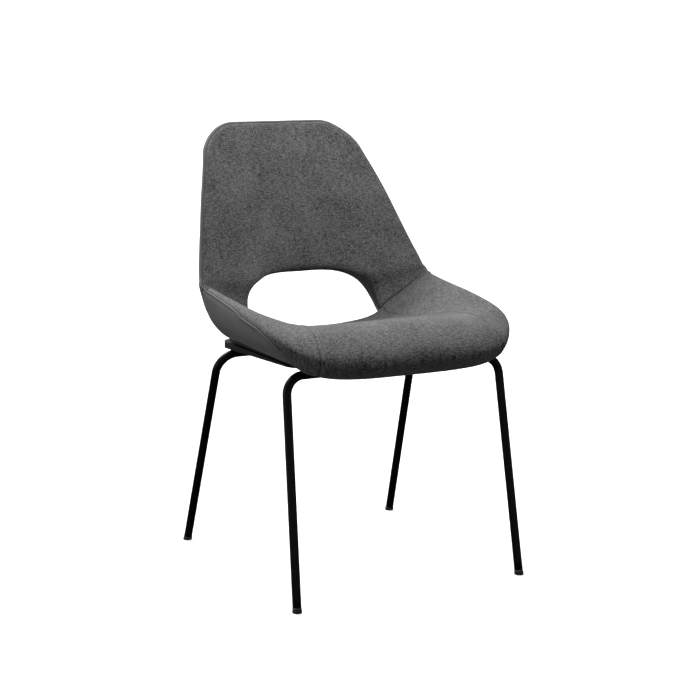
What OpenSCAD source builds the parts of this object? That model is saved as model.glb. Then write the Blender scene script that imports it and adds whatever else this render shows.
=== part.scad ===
// Dining chair: a padded bucket shell with an open back, on two bent tube hoops.
// X is the width, the sitter faces -Y, Z is up and the floor is z = 0.
// The shell is laid out on a side profile: station s is the length along the
// profile from the front edge, x is the distance from the middle, and a height
// is measured square to the profile, towards the sitter.

/* [Shell profile] */
// Height of the shell line at the front edge
front_height = 430; // [415:1:450]
// Reach of the shell line in front of the chair's middle
front_reach = 303; // [295:1:310]
// Length of the seat along the profile
seat_length = 380; // [360:1:400]
// Length of the bend between seat and back
bend_length = 165; // [150:1:185]
// Turn of that bend in degrees
bend_turn = 76; // [72:1:80]
// Length of the back along the profile
back_length = 324; // [300:1:350]

/* [Shell outline] */
// Full width across the wings
shell_width = 488; // [460:1:510]
// Width of the back at its top, before the corners
top_width = 316; // [280:1:330]
// Radius of the top corners
top_radius = 64; // [50:1:85]
// Depth of the curved front of the seat
front_depth = 170; // [150:1:190]
// Squareness of the front outline, 2 is an ellipse
front_power = 2.8; // [2.5:0.1:4]
// Greatest rise of the wings above the profile
wing_rise = 91.5; // [80:0.5:100]

/* [Opening] */
// Width of the opening in the back
opening_width = 280; // [250:1:300]
// Height of the opening above the wing seams, along the profile
opening_height = 125; // [100:1:135]
// Squareness of the opening's upper corners
opening_power = 3.0; // [2.4:0.1:4]
// Station of the seams between back and wings
seam_station = 439; // [436:1:450]
// Station of the seat's rear edge in the middle
seat_rear = 405; // [395:1:415]

/* [Padding] */
// Height of the padding of the back and the seat's rear above the shell line
pad_height = 15; // [12:0.5:18]
// Width of the rolled edges
edge_roll = 18; // [14:1:22]
// Extra width of the roll along the front edge
front_roll = 26; // [18:1:34]
// Extra width of the roll over the front edge on top
front_fall = 58; // [40:1:80]
// Thickness of the covers
cover = 2; // [1.5:0.1:2.5]
// Thickness of the moulded core
core = 8; // [6:0.5:10]

/* [Frame] */
// Outer diameter of the tube
tube_d = 16; // [14:0.5:19]
// Wall of the tube
tube_wall = 1.5; // [1.2:0.1:2]
// Bend radius of the front hoop's centre line
front_bend = 34; // [28:1:50]
// Bend radius of the rear hoop's centre line
rear_bend = 40; // [28:1:50]
// Half the distance between two feet of one hoop
foot_half = 230; // [215:1:245]
// Distance of the front feet in front of the chair's middle
front_foot = 266; // [250:1:280]
// Distance of the rear feet behind the middle
rear_foot = 230; // [215:1:245]
// Half width of the front hoop at its crossbar
front_top = 216.5; // [205:0.5:225]
// Half width of the rear hoop at its crossbar
rear_top = 213.5; // [205:0.5:225]
// Height of the front crossbar's centre
front_bar_z = 405.5; // [400:0.5:408]
// Height of the rear crossbar's centre
rear_bar_z = 395; // [390:0.5:398]
// Distance of the front crossbar in front of the middle
front_bar_y = 200; // [193:1:206]
// Distance of the rear crossbar behind the middle
rear_bar_y = 98; // [90:1:104]

/* [Base] */
// Width of the base pan
pan_width = 384; // [360:1:400]
// Height of the gap between base pan and side covers
shadow_gap = 5; // [3:0.5:7]
// Width of the two rails
rail_width = 30; // [24:1:36]
// Thickness of the two rails
rail_thick = 4; // [3:0.5:5]
// Distance of each rail from the middle
rail_x = 110; // [90:1:130]
// Bolt thread diameter
bolt_d = 6; // [5:1:6]

/* [Hidden] */

left = [1, 0, 0];     // mirror that turns a right-hand piece into a left-hand one
fabric = [0.27, 0.28, 0.28];
side_cloth = [0.42, 0.41, 0.41];
foam_tint = [0.88, 0.84, 0.70];
core_tint = [0.72, 0.58, 0.40];
black = [0.06, 0.06, 0.06];
pan_tint = [0.16, 0.16, 0.16];
zinc = [0.62, 0.63, 0.65];

shell_length = seat_length + bend_length + back_length;
half_top = shell_width / 2;
opening_half = opening_width / 2;
opening_top = seam_station + opening_height;
front_slope = 2;      // heading of the profile at the front edge, degrees up
seat_turn = -6;       // droop of the seat over its length, degrees
back_turn = 3;        // curl of the back over its length, degrees
rear_power = 4;       // how sharply the seat's rear edge runs up to the seams
rear_blend = 250;     // station where the rows start to follow that edge
foam_gap = 1.5;       // clearance between the core and the foams
thin = 0.6;           // least thickness left at an edge

// Side profile as arcs: length and turn in degrees
profile = [[seat_length, seat_turn], [bend_length, bend_turn], [back_length, back_turn]];

// Rise of the rim above the profile, by station
rim_rise = [
    [0, 8], [40, 22], [80, 36], [125, 47.5], [180, 56.5], [255, 65.5], [330, 75],
    [390, wing_rise - 6.5], [450, wing_rise], [500, wing_rise - 0.5],
    [540, wing_rise - 3.5], [565, wing_rise - 9], [600, 74], [645, 65],
    [712, 51], [780, 32], [825, 16], [shell_length, 0]
];
// Half width of the shell, by station
half_widths = [
    [front_depth, half_top], [330, half_top - 0.5], [390, half_top + 1],
    [454, half_top + 1.5], [500, half_top + 2.5], [548, half_top - 2.5],
    [595, half_top - 13.5], [640, half_top - 25], [708, half_top - 42.5],
    [753, half_top - 55.5], [799, half_top - 69.5], [shell_length, top_width / 2]
];
// Distance of the seat seams from the middle, by station
seat_seams = [
    [30, 184], [65, 176], [85, 171], [125, 166], [165, 158], [204, 149],
    [244, 141], [290, 134], [340, 133], [seam_station, opening_half]
];
// Depth of the shell below the profile line, by station
depths = [
    [0, 26], [40, 31.5], [68, 27], [92, 12], [150, 11.5], [250, 9.7], [340, 5.8],
    [420, 7], [480, 10], [560, 13], [shell_length, 13]
];
// Height of the padding, by station
pads = [
    [0, pad_height + 5], [100, pad_height + 11], [170, pad_height + 9],
    [260, pad_height + 2.5], [340, pad_height + 0.5], [400, pad_height],
    [shell_length, pad_height]
];
// Crown of the seat cushion in the middle, by station
crowns = [
    [0, 22], [90, 33], [160, 25], [250, 8], [330, 1], [400, 0], [shell_length, 0]
];
// Thicker padding of the wings towards their rims, by station
bolsters = [
    [110, 0], [200, 4], [280, 8], [350, 12], [410, 11], [445, 3], [500, 0],
    [shell_length, 0]
];
// How far the middle of the back stands forward of its profile, by station
pushes = [[375, 0], [430, 16], [570, 18], [700, 8], [shell_length, 0]];
// Power that shapes the back's hollow, by station
back_powers = [[0, 1.0], [510, 1.0], [640, 1.7], [shell_length, 1.8]];
// Power that shapes the outer side, by station
side_powers = [
    [0, 16], [300, 16], [443, 8], [560, 2.6], [640, 1.8], [shell_length, 1.8]
];

// --- Curves -----------------------------------------------------------------
function knot(x, k, i = 0) = i < len(k) - 2 && x >= k[i + 1][0] ? knot(x, k, i + 1) : i;
function knot_slope(k, i) = i == 0 || i == len(k) - 1 ? 0
    : (k[i + 1][1] - k[i - 1][1]) / (k[i + 1][0] - k[i - 1][0]);
// Smooth curve through the knots
function curve(x, k) =
    let (c = min(max(x, k[0][0]), k[len(k) - 1][0]), i = knot(c, k),
        w = k[i + 1][0] - k[i][0], u = (c - k[i][0]) / w)
    k[i][1] * (1 + 2 * u) * pow(1 - u, 2) + w * knot_slope(k, i) * u * pow(1 - u, 2)
    + k[i + 1][1] * u * u * (3 - 2 * u) + w * knot_slope(k, i + 1) * u * u * (u - 1);
// Smooth step from 0 at a to 1 at b
function fade(a, b, x) = let (u = min(max((x - a) / (b - a), 0), 1)) u * u * (3 - 2 * u);
function mix(a, b, u) = a + (b - a) * u;
// [y, z, heading] after travelling d along an arc of the profile
function arc_step(p, seg, d) =
    let (r = seg[0] / seg[1] * 180 / PI, h = p[2] + seg[1] * d / seg[0])
    [p[0] + r * (sin(h) - sin(p[2])), p[1] - r * (cos(h) - cos(p[2])), h];
function walk(s, i = 0, p = [-front_reach, front_height, front_slope]) =
    i == len(profile) - 1 || s < profile[i][0] ? arc_step(p, profile[i], s)
    : walk(s - profile[i][0], i + 1, arc_step(p, profile[i], profile[i][0]));

// --- Outlines ---------------------------------------------------------------
function half_width(s) = curve(s, half_widths);
function power_arc(u, n) = pow(max(1 - pow(u, n), 0), 1 / n);
function front_line(x) =
    front_depth * (1 - power_arc(min(abs(x) / half_top, 1), front_power));
function rear_line(x, e) =
    abs(x) >= opening_half + e ? seam_station
    : seat_rear - e + (seam_station - seat_rear + e) * pow(abs(x) / (opening_half + e), rear_power);
// Distance inside a superellipse quadrant with half axes a and b
function ellipse_gap(u, v, a, b, n) =
    let (r = max(pow(pow(u / a, n) + pow(v / b, n), 1 / n), 0.01))
    (1 - r) / norm([pow(u / a / r, n - 1) / a, pow(v / b / r, n - 1) / b]);
function rim_gap(s, x) =
    let (from_top = shell_length - s, inner = half_width(s) - top_radius)
    s < front_depth ? ellipse_gap(abs(x), front_depth - s, half_top, front_depth, front_power)
    : from_top > top_radius ? half_width(s) - abs(x)
    : abs(x) < inner ? from_top
    : top_radius - norm([abs(x) - inner, top_radius - from_top]);
function opening_gap(s, x) =
    s >= seam_station
    ? -ellipse_gap(abs(x), s - seam_station, opening_half, opening_height, opening_power)
    : abs(x) > opening_half ? norm([abs(x) - opening_half, seam_station - s])
    : rear_line(x, 0) - s;

// --- Heights square to the profile -------------------------------------------
function roll(d, w) = sqrt(1 - pow(1 - min(max(d / w, 0), 1), 2));
// 0 to 1 with a soft knee at k
function knee(t, k) = let (r = 0.1, q = function (v) (sqrt(pow(v - k, 2) + r * r) + v - k) / 2)
    (q(t) - q(0)) / (q(1) - q(0));
// Line through the middle of the edges
function mid_height(s, x) =
    let (t = min(abs(x) / half_width(s), 1), k = 0.72 - 0.16 * fade(60, 300, s),
        seat = 0.55 * pow(t, 2.2) + 0.45 * knee(t, k), back = pow(t, curve(s, back_powers)))
    curve(s, rim_rise) * mix(seat, back, fade(430, 560, s));
// Roundness towards the edges of a layer that ends e inside them, 0 at its edge
function edge_roundness(s, x, e, front, end) =
    min(roll(rim_gap(s, x) - e, edge_roll - e + front * (1 - fade(40, end, s))),
        roll(opening_gap(s, x) - e, edge_roll - e));
// Padding above the middle line
function rise(s, x, e) =
    let (t = min(abs(x) / half_width(s), 1))
    (curve(s, pads) + curve(s, crowns) * max(1 - t * t / 0.8, 0)
        + curve(s, bolsters) * fade(0.55, 0.86, t)) * edge_roundness(s, x, e, front_fall, 260);
// Everything below the middle line
function fall(s, x, e) =
    let (t = min(abs(x) / half_width(s), 1), front = 1 - fade(40, 150, s),
        depth = curve(s, depths) * (1 - 0.4 * pow(t, 4) * front),
        outer = curve(s, rim_rise) * pow(t, curve(s, side_powers)) - depth)
    (mid_height(s, x) - outer) * edge_roundness(s, x, e, front_roll, 150);
// Surfaces of the layers, from the sitter's side to the outside
TOP = 0;
UNDER_TOP = 1;
OVER_CORE = 2;
CORE_TOP = 3;
CORE_BOTTOM = 4;
UNDER_CORE = 5;
OVER_BOTTOM = 6;
BOTTOM = 7;
function level(s, x, n) =
    let (m = mid_height(s, x), e = inset(n), up = rise(s, x, e), down = fall(s, x, e),
        half = core / 2,
        under = max(down - cover - thin, 0), lift = max(half + foam_gap - under, 0))
    n == TOP ? m + up
    : n == UNDER_TOP ? m + max(up - cover, thin)
    : n == OVER_CORE ? m + min(max(up - cover - thin, 0), lift + half + foam_gap)
    : n == CORE_TOP ? m + lift + half
    : n == CORE_BOTTOM ? m + lift - half
    : n == UNDER_CORE ? m - min(under, half + foam_gap)
    : n == OVER_BOTTOM ? m - max(down - cover, thin)
    : m - down;
function place(s, x, h) =
    let (p = walk(s), inner = 1 - fade(0.55, 1, abs(x) / half_width(s)))
    [x, p[0] - h * sin(p[2]) - curve(s, pushes) * inner, p[1] + h * cos(p[2])];
function on(q, n) = place(q[0], q[1], level(q[0], q[1], n));

// --- Layout of the seat, wings and back: each gives [station, x] --------------
SEAT_ROWS = 13;
SEAT_COLS = 8;
WING_COLS = 5;
ARCH_ROWS = 26;
ARCH_COLS = 7;
// Inset of a layer from the edges: covers none, foams one cover
function inset(n) = n == TOP || n == BOTTOM ? 0 : cover;
// Fractions that crowd towards both ends
function crowd(u) = mix(u, 0.5 - 0.5 * cos(180 * u), 0.85);
function crowd_out(u) = mix(u, sin(90 * u), 0.85);
function row_station(r, x, e) =
    r + front_line(x) * pow(max(1 - r / front_depth, 0), 2)
    + (rear_line(x, e) - seat_rear + e)
      * pow(max((r - rear_blend) / (seat_rear - e - rear_blend), 0), 2);
function row_end(r) =
    r >= front_depth ? half_width(row_station(r, half_top, 0))
    : half_top * power_arc(1 - 1 / (2 - r / front_depth), front_power);
function seam_x(r, e) =
    let (s = row_station(r, curve(r, seat_seams), e))
    curve(s, seat_seams) + e * fade(330, seam_station, s);
function seat_row(i, e) = mix(e, seat_rear - e, crowd(i / SEAT_ROWS));
function seat_point(i, c, e) =
    let (r = seat_row(i, e), x = c * seam_x(r, e)) [row_station(r, x, e), x];
// The right wing; the left one mirrors it
function wing_point(i, w, e) =
    let (r = seat_row(i, e), x = mix(seam_x(r, e), row_end(r) - e, w))
    [row_station(r, x, e), x];
// Length of the outline from the seams to the middle of the top
side_run = shell_length - top_radius - seam_station;
corner_run = top_radius * PI / 2;
outline_run = side_run + corner_run + top_width / 2 - top_radius;
function outline_point(u, e) =
    let (d = u * outline_run, a = (d - side_run) / corner_run * 90,
        s1 = seam_station + d, inner = top_width / 2 - top_radius)
    d < side_run ? [s1, half_width(s1) - e]
    : a < 90 ? let (s = shell_length - top_radius + top_radius * sin(a))
        [shell_length - top_radius + (top_radius - e) * sin(a),
         half_width(s) - top_radius + (top_radius - e) * cos(a)]
    : [shell_length - e, inner * (1 - (d - side_run - corner_run) / inner)];
function opening_point(u, e) =
    [seam_station + (opening_height + e) * pow(sin(90 * u), 2 / opening_power),
     (opening_half + e) * pow(cos(90 * u), 2 / opening_power)];
// u runs from one seam over the top to the other, v from opening to rim
function arch_point(u, v, e) =
    let (side = u > 0.5 ? -1 : 1, k = 1 - abs(2 * u - 1),
        q = mix(opening_point(k, e), outline_point(k, e), v))
    [q[0], side * q[1]];

// --- Solids from two grids of points ------------------------------------------
function cell(a, b, c, d) = [[a, b, d], [b, c, d]];
// Outer and inner are grids of the same size, the outer one facing the viewer.
// The first face decides how the sewn solid is oriented, so the order can be chosen.
module sheet(outer, inner, walls_first = true) {
    n = len(outer);
    m = len(outer[0]);
    half = n * m;
    function at(i, j) = i * m + j;
    surfaces = [for (i = [0 : n - 2], j = [0 : m - 2]) each concat(
        cell(at(i, j), at(i, j + 1), at(i + 1, j + 1), at(i + 1, j)),
        cell(half + at(i, j), half + at(i + 1, j), half + at(i + 1, j + 1),
            half + at(i, j + 1)))];
    ends = [for (j = [0 : m - 2]) each concat(
        cell(at(0, j), half + at(0, j), half + at(0, j + 1), at(0, j + 1)),
        cell(at(n - 1, j), at(n - 1, j + 1), half + at(n - 1, j + 1),
            half + at(n - 1, j)))];
    sides = [for (i = [0 : n - 2]) each concat(
        cell(at(i, 0), at(i + 1, 0), half + at(i + 1, 0), half + at(i, 0)),
        cell(at(i, m - 1), half + at(i, m - 1), half + at(i + 1, m - 1),
            at(i + 1, m - 1)))];
    polyhedron(points = [for (g = [outer, inner], row = g, p = row) p],
        faces = walls_first ? concat(sides, ends, surfaces) : concat(surfaces, ends, sides),
        convexity = 8);
}
// Closed ring: rows wrap round, columns run from the inner to the outer edge
module ring(upper, lower) {
    n = len(upper);
    m = len(upper[0]);
    half = n * m;
    function at(i, j) = (i % n) * m + j;
    points = [for (g = [upper, lower], row = g, p = row) p];
    faces = [
        for (i = [0 : n - 1], j = [0 : m - 2]) each concat(
            cell(at(i, j), at(i + 1, j), at(i + 1, j + 1), at(i, j + 1)),
            cell(half + at(i, j), half + at(i, j + 1), half + at(i + 1, j + 1),
                half + at(i + 1, j))),
        for (i = [0 : n - 1]) each concat(
            cell(at(i, 0), half + at(i, 0), half + at(i + 1, 0), at(i + 1, 0)),
            cell(at(i, m - 1), at(i + 1, m - 1), half + at(i + 1, m - 1),
                half + at(i, m - 1)))
    ];
    polyhedron(points = points, faces = faces, convexity = 8);
}
function seat_line(i, e) = [for (j = [0 : SEAT_COLS]) seat_point(i, 1 - 2 * j / SEAT_COLS, e)];
function wing_line(i, e, reach = 1) =
    [for (j = [0 : WING_COLS]) wing_point(i, reach * crowd_out(1 - j / WING_COLS), e)];
function seat_grid(n, rows) = [for (i = rows) [for (q = seat_line(i, inset(n))) on(q, n)]];
function wing_grid(n, rows) = [for (i = rows) [for (q = wing_line(i, inset(n))) on(q, n)]];
function arch_grid(n) =
    [for (i = [0 : ARCH_ROWS]) [for (j = [0 : ARCH_COLS])
        on(arch_point(1 - i / ARCH_ROWS, crowd(j / ARCH_COLS), inset(n)), n)]];

// --- Core -------------------------------------------------------------------
CORE_SPOKES = 22;
core_inset = 10;
front_run = seam_station - front_depth;
front_arc = half_top + 0.6 * front_depth;
// Outline from a seam (k = 0) to the middle of the front (k = 1)
function front_outline(k, e) =
    let (d = k * (front_run + front_arc), a = 90 * (d - front_run) / front_arc,
        p = 2 / front_power)
    a <= 0 ? [seam_station - d, half_width(seam_station - d) - e]
    : [front_depth - (front_depth - e) * pow(sin(a), p), (half_top - e) * pow(cos(a), p)];
function spoke_point(u, v, e) =
    let (k = 1 - abs(2 * u - 1), x = (opening_half + e) * (1 - k),
        q = mix([rear_line(x, e), x], front_outline(k, e), v))
    [q[0], (u > 0.5 ? 1 : -1) * q[1]];
function core_grid(n) = concat(
    [for (i = [0 : ARCH_ROWS - 1]) [for (j = [0 : ARCH_COLS])
        on(arch_point(i / ARCH_ROWS, crowd(j / ARCH_COLS), core_inset), n)]],
    [for (i = [0 : CORE_SPOKES - 1]) [for (j = [0 : ARCH_COLS])
        on(spoke_point(i / CORE_SPOKES, crowd(j / ARCH_COLS), core_inset), n)]]);

module shell_core() {
    color(core_tint) difference() {
        ring(core_grid(CORE_TOP), core_grid(CORE_BOTTOM));
        bolt_clearance(tee_d + 0.4);
        at_tees() cylinder(d = tee_flange + 0.6, h = 20, $fn = 32);
    }
}

// --- Foams --------------------------------------------------------------------
WRAP_ROWS = 4;        // rows of the front that the covers also wrap from below
ALL_ROWS = [0 : SEAT_ROWS];
REAR_ROWS = [WRAP_ROWS : SEAT_ROWS];
NOSE_ROWS = [WRAP_ROWS : -1 : 0];
module seat_foam() {
    color(foam_tint) sheet(seat_grid(UNDER_TOP, ALL_ROWS), seat_grid(OVER_CORE, ALL_ROWS));
}
module wing_foam() {
    color(foam_tint) sheet(wing_grid(UNDER_TOP, ALL_ROWS), wing_grid(OVER_CORE, ALL_ROWS));
}
module back_foam() {
    color(foam_tint) sheet(arch_grid(UNDER_TOP), arch_grid(OVER_CORE));
}
module back_foam_rear() {
    color(foam_tint) sheet(arch_grid(UNDER_CORE), arch_grid(OVER_BOTTOM));
}
module front_roll_foam() {
    color(foam_tint) sheet(seat_grid(OVER_BOTTOM, NOSE_ROWS), seat_grid(UNDER_CORE, NOSE_ROWS));
}
module side_foam() {
    color(foam_tint) sheet(wing_grid(UNDER_CORE, ALL_ROWS), wing_grid(OVER_BOTTOM, ALL_ROWS));
}
module underside_wadding() {
    color(foam_tint) difference() {
        sheet(seat_grid(UNDER_CORE, REAR_ROWS), seat_grid(OVER_BOTTOM, REAR_ROWS));
        bolt_clearance(tee_d + 0.8);
    }
}

// --- Covers -------------------------------------------------------------------
// The seat and wing covers start under the front edge and wrap up over it
function wrap_grid(outer, line) =
    [for (i = [-WRAP_ROWS - 1 : SEAT_ROWS]) let (row = i < 0 ? -1 - i : i,
        e = !outer ? cover : row == 0 ? nose : 0,
        n = i < 0 ? (outer ? BOTTOM : OVER_BOTTOM) : (outer ? TOP : UNDER_TOP))
        [for (q = line(row, e, i < 0 ? wrap_reach : 1)) on(q, n)]];
nose = 0.4;           // inset of the blunt front edge
wrap_reach = 0.995;   // the wings' wrapped part stops this short of the rim

module seat_cover() {
    line = function (row, e, reach) seat_line(row, e);
    color(fabric) sheet(wrap_grid(true, line), wrap_grid(false, line));
}
module wing_cover() {
    line = function (row, e, reach) wing_line(row, e, reach);
    color(fabric) sheet(wrap_grid(true, line), wrap_grid(false, line));
}
module back_cover_front() {
    color(fabric) sheet(arch_grid(TOP), arch_grid(UNDER_TOP), walls_first = false);
}
module back_cover_rear() {
    color(side_cloth) sheet(arch_grid(OVER_BOTTOM), arch_grid(BOTTOM));
}
module side_cover() {
    color(side_cloth) sheet(wing_grid(OVER_BOTTOM, REAR_ROWS), wing_grid(BOTTOM, REAR_ROWS));
}
module underside_cover() {
    color(black) difference() {
        sheet(seat_grid(OVER_BOTTOM, REAR_ROWS), seat_grid(BOTTOM, REAR_ROWS));
        bolt_clearance(bolt_d + 0.6);
    }
}

// --- Piping along the rim, between wing cover and side cover --------------------
piping_d = 4;
PIPING_SIDES = 6;
module piping() {
    path = [for (i = [WRAP_ROWS : 0.5 : SEAT_ROWS])
        on(wing_point(i, 1, 0), TOP) + [piping_d / 2 + 0.3, 0, 0]];
    turn = 360 / PIPING_SIDES;
    color(side_cloth) tube([for (p = path) [for (k = [0 : PIPING_SIDES - 1])
        p + piping_d / 2 * [cos(k * turn), 0, sin(k * turn)]]]);
}
// Closed tube through rings of points
module tube(rings) {
    n = len(rings);
    m = len(rings[0]);
    function at(i, j) = i * m + j % m;
    faces = concat(
        [for (i = [0 : n - 2], j = [0 : m - 1]) each
            cell(at(i, j), at(i, j + 1), at(i + 1, j + 1), at(i + 1, j))],
        [[for (j = [0 : m - 1]) at(0, m - 1 - j)], [for (j = [0 : m - 1]) at(n - 1, j)]]);
    polyhedron(points = [for (r = rings, p = r) p], faces = faces, convexity = 6);
}

// --- Frame --------------------------------------------------------------------
// Each hoop: end of the chair, reach of its feet and of its crossbar, crossbar height,
// half width at the crossbar and bend radius
front = [-1, front_foot, front_bar_y, front_bar_z, front_top, front_bend];
rear = [1, rear_foot, rear_bar_y, rear_bar_z, rear_top, rear_bend];
foot_cut = 9;         // length of leg left to the glide
bore_d = tube_d - 2 * tube_wall;
// Plane of a hoop: its foot line on the floor, leaning in to its crossbar
module hoop_plane(h) {
    translate([0, h[0] * h[1], 0]) rotate([h[0] * atan2(h[1] - h[2], h[3]), 0, 0]) children();
}
function hoop_height(h) = norm([h[1] - h[2], h[3]]);
function splay(h) = atan2(foot_half - h[4], hoop_height(h));
// Stations along a hoop, foot to foot: [x, height, angle of the outward normal]
BEND_STEPS = 8;
TUBE_SIDES = 24;
function hoop_stations(h) =
    let (height = hoop_height(h), bend = h[5], lean = splay(h),
        tangent = bend * tan((90 - lean) / 2), cx = h[4] - tangent, cz = height - bend,
        foot = [foot_half - foot_cut * sin(lean), foot_cut * cos(lean)],
        right = concat([for (k = [0 : BEND_STEPS]) let (a = mix(90, lean, k / BEND_STEPS))
            [cx + bend * cos(a), cz + bend * sin(a), a]],
            [[foot[0], foot[1], lean]]),
        n = len(right) - 1)
    concat([for (k = [n : -1 : 0]) [-right[k][0], right[k][1], 180 - right[k][2]]], right);
function hoop_rings(h, r) =
    [for (q = hoop_stations(h)) [for (k = [0 : TUBE_SIDES]) let (a = 360 * k / TUBE_SIDES)
        [q[0] + r * cos(a) * cos(q[2]), r * sin(a), q[1] + r * cos(a) * sin(q[2])]]];
// Hollow tube: each ring's last point repeats its first
module pipe(outer, inner) {
    n = len(outer);
    m = len(outer[0]) - 1;
    half = n * m;
    function at(i, j) = i * m + j % m;
    points = [for (g = [outer, inner], row = g, k = [0 : m - 1]) row[k]];
    faces = [
        for (i = [0 : n - 2], j = [0 : m - 1]) each concat(
            cell(at(i, j), at(i, j + 1), at(i + 1, j + 1), at(i + 1, j)),
            cell(half + at(i, j), half + at(i + 1, j), half + at(i + 1, j + 1),
                half + at(i, j + 1))),
        for (j = [0 : m - 1]) each concat(
            cell(at(0, j), half + at(0, j), half + at(0, j + 1), at(0, j + 1)),
            cell(at(n - 1, j), at(n - 1, j + 1), half + at(n - 1, j + 1),
                half + at(n - 1, j)))
    ];
    polyhedron(points = points, faces = faces, convexity = 8);
}
module hoop(h) {
    color(black) hoop_plane(h) pipe(hoop_rings(h, tube_d / 2), hoop_rings(h, bore_d / 2));
}

// --- Glides: a stem inside the tube, a band and a foot cut level with the floor ----
glide_stem = 22;
glide_d = tube_d + 1;
module glide(h, side) {
    color([0.2, 0.2, 0.2]) intersection() {
        hoop_plane(h) translate([side * foot_half, 0, 0])
            rotate([0, -side * splay(h), 0]) {
            translate([0, 0, -10]) cylinder(d = glide_d, h = 10 + foot_cut - 0.1, $fn = 48);
            cylinder(d = bore_d - 0.3, h = foot_cut + glide_stem, $fn = 48);
        }
        translate([side * foot_half, h[0] * h[1], 50]) cube([100, 100, 100], center = true);
    }
}

// --- Rails, base pan and bolts ---------------------------------------------------
bar_gap = norm([front_bar_y + rear_bar_y, front_bar_z - rear_bar_z]);
rail_end = 9;         // length of rail past each crossbar
slack = 0.3;
tee_d = bolt_d + 2;
bolt_length = 30;
bolt_at = [62, 236];  // places of the bolts along a rail, from the front crossbar
pan_front = 188;      // reach of the pan in front of the middle
pan_rear = 152;       // and behind it
pan_corner = 40;
pan_heel = 17;        // radius of the pan's lower rear edge
web_wide = 8;         // thickness of the web along the pan's middle
web_high = 12;        // and its height over the crossbars
pan_wall = 4;
plinth_inset = 10;
shell_under = 420.3;  // level of the shell's underside over the pan's rim
// Plane that rests on both crossbars: its x = 0, y = 0 is over the front one
module on_bars() {
    translate([0, -front_bar_y, front_bar_z])
        rotate([-atan2(front_bar_z - rear_bar_z, front_bar_y + rear_bar_y), 0, 0])
        translate([0, 0, tube_d / 2]) children();
}
module at_bolts() {
    on_bars() for (x = [-rail_x, rail_x], y = bolt_at) translate([x, y, 0]) children();
}
module bolt_clearance(d) {
    at_bolts() translate([0, 0, -5]) cylinder(d = d, h = bolt_length + 10, $fn = 24);
}
module rail(side) {
    color(black) on_bars() difference() {
        translate([side * rail_x - rail_width / 2, -rail_end, 0])
            cube([rail_width, bar_gap + 2 * rail_end, rail_thick]);
        for (y = bolt_at) translate([side * rail_x, y, -1])
            cylinder(d = bolt_d + 0.6, h = rail_thick + 2, $fn = 24);
    }
}
module pan_outline(inset) {
    r = pan_corner - inset;
    x = pan_width / 2 - pan_corner;
    translate([0, (pan_rear - pan_front) / 2]) {
        square([pan_width - 2 * inset, pan_front + pan_rear - 2 * pan_corner], center = true);
        square([2 * x, pan_front + pan_rear - 2 * inset], center = true);
        for (sx = [-1, 1], sy = [-1, 1])
            translate([sx * x, sy * ((pan_front + pan_rear) / 2 - pan_corner)])
                circle(r = r, $fn = 64);
    }
}
module base_pan() {
    low = 380;
    top = shell_under - 1;
    rear_end = front_bar_y + pan_rear;
    color(pan_tint) difference() {
        union() {
            translate([0, 0, low]) linear_extrude(top - shadow_gap - low) pan_outline(0);
            translate([0, 0, low]) linear_extrude(top - low) pan_outline(plinth_inset);
        }
        on_bars() {
            translate([-pan_width, -100, -60]) cube([2 * pan_width, 600, 60]);
            for (side = [-1, 1])
                translate([side * rail_x - rail_width / 2 - slack, -100, -1])
                    cube([rail_width + 2 * slack, 100 + bar_gap + rail_end + slack,
                        rail_thick + slack + 1]);
            translate([-pan_width, rear_end - pan_heel, pan_heel]) rotate([90, 0, 90])
                linear_extrude(2 * pan_width) difference() {
                    translate([0, -pan_heel - 1]) square([pan_heel + 5, pan_heel + 1]);
                    circle(r = pan_heel, $fn = 64);
                }
            difference() {
                translate([pan_wall + plinth_inset - pan_width / 2, 12, rail_thick + slack + 3])
                    cube([pan_width - 2 * (pan_wall + plinth_inset), rear_end - 60, 40]);
                for (x = [-rail_x, rail_x], y = bolt_at) translate([x, y, 0])
                    cylinder(d = 22, h = 60, $fn = 48);
                translate([-web_wide / 2, 0, 0]) cube([web_wide, 400, web_high]);
            }
        }
        bolt_clearance(bolt_d + 0.6);
    }
}
washer_thick = 1.6;
module mount_washers() {
    color(zinc) at_bolts() translate([0, 0, -washer_thick]) difference() {
        cylinder(d = 2 * bolt_d, h = washer_thick, $fn = 32);
        translate([0, 0, -1]) cylinder(d = bolt_d + 0.4, h = washer_thick + 2, $fn = 32);
    }
}
module mount_bolts() {
    head = 3.3;
    color(zinc) at_bolts() translate([0, 0, -washer_thick]) difference() {
        union() {
            cylinder(d = bolt_d, h = bolt_length, $fn = 32);
            translate([0, 0, -head]) cylinder(d = 10.5, h = head, $fn = 32);
        }
        translate([0, 0, -head - 1]) cylinder(d = 4.6, h = 3, $fn = 6);
    }
}
// T-nuts let into the core: height of each flange over its bolt's place on the rail
tee_rise = [28.2, 30.8];
tee_flange = 18;
tee_barrel = 8;
module at_tees() {
    on_bars() for (x = [-rail_x, rail_x], k = [0, 1])
        translate([x, bolt_at[k], tee_rise[k]]) children();
}
module tee_nuts() {
    color(zinc) at_tees() difference() {
        union() {
            translate([0, 0, -tee_barrel]) cylinder(d = tee_d, h = tee_barrel, $fn = 24);
            cylinder(d = tee_flange, h = 1, $fn = 32);
        }
        translate([0, 0, -tee_barrel - 1])
            cylinder(d = bolt_d + 0.1, h = tee_barrel + 3, $fn = 24);
    }
}

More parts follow.
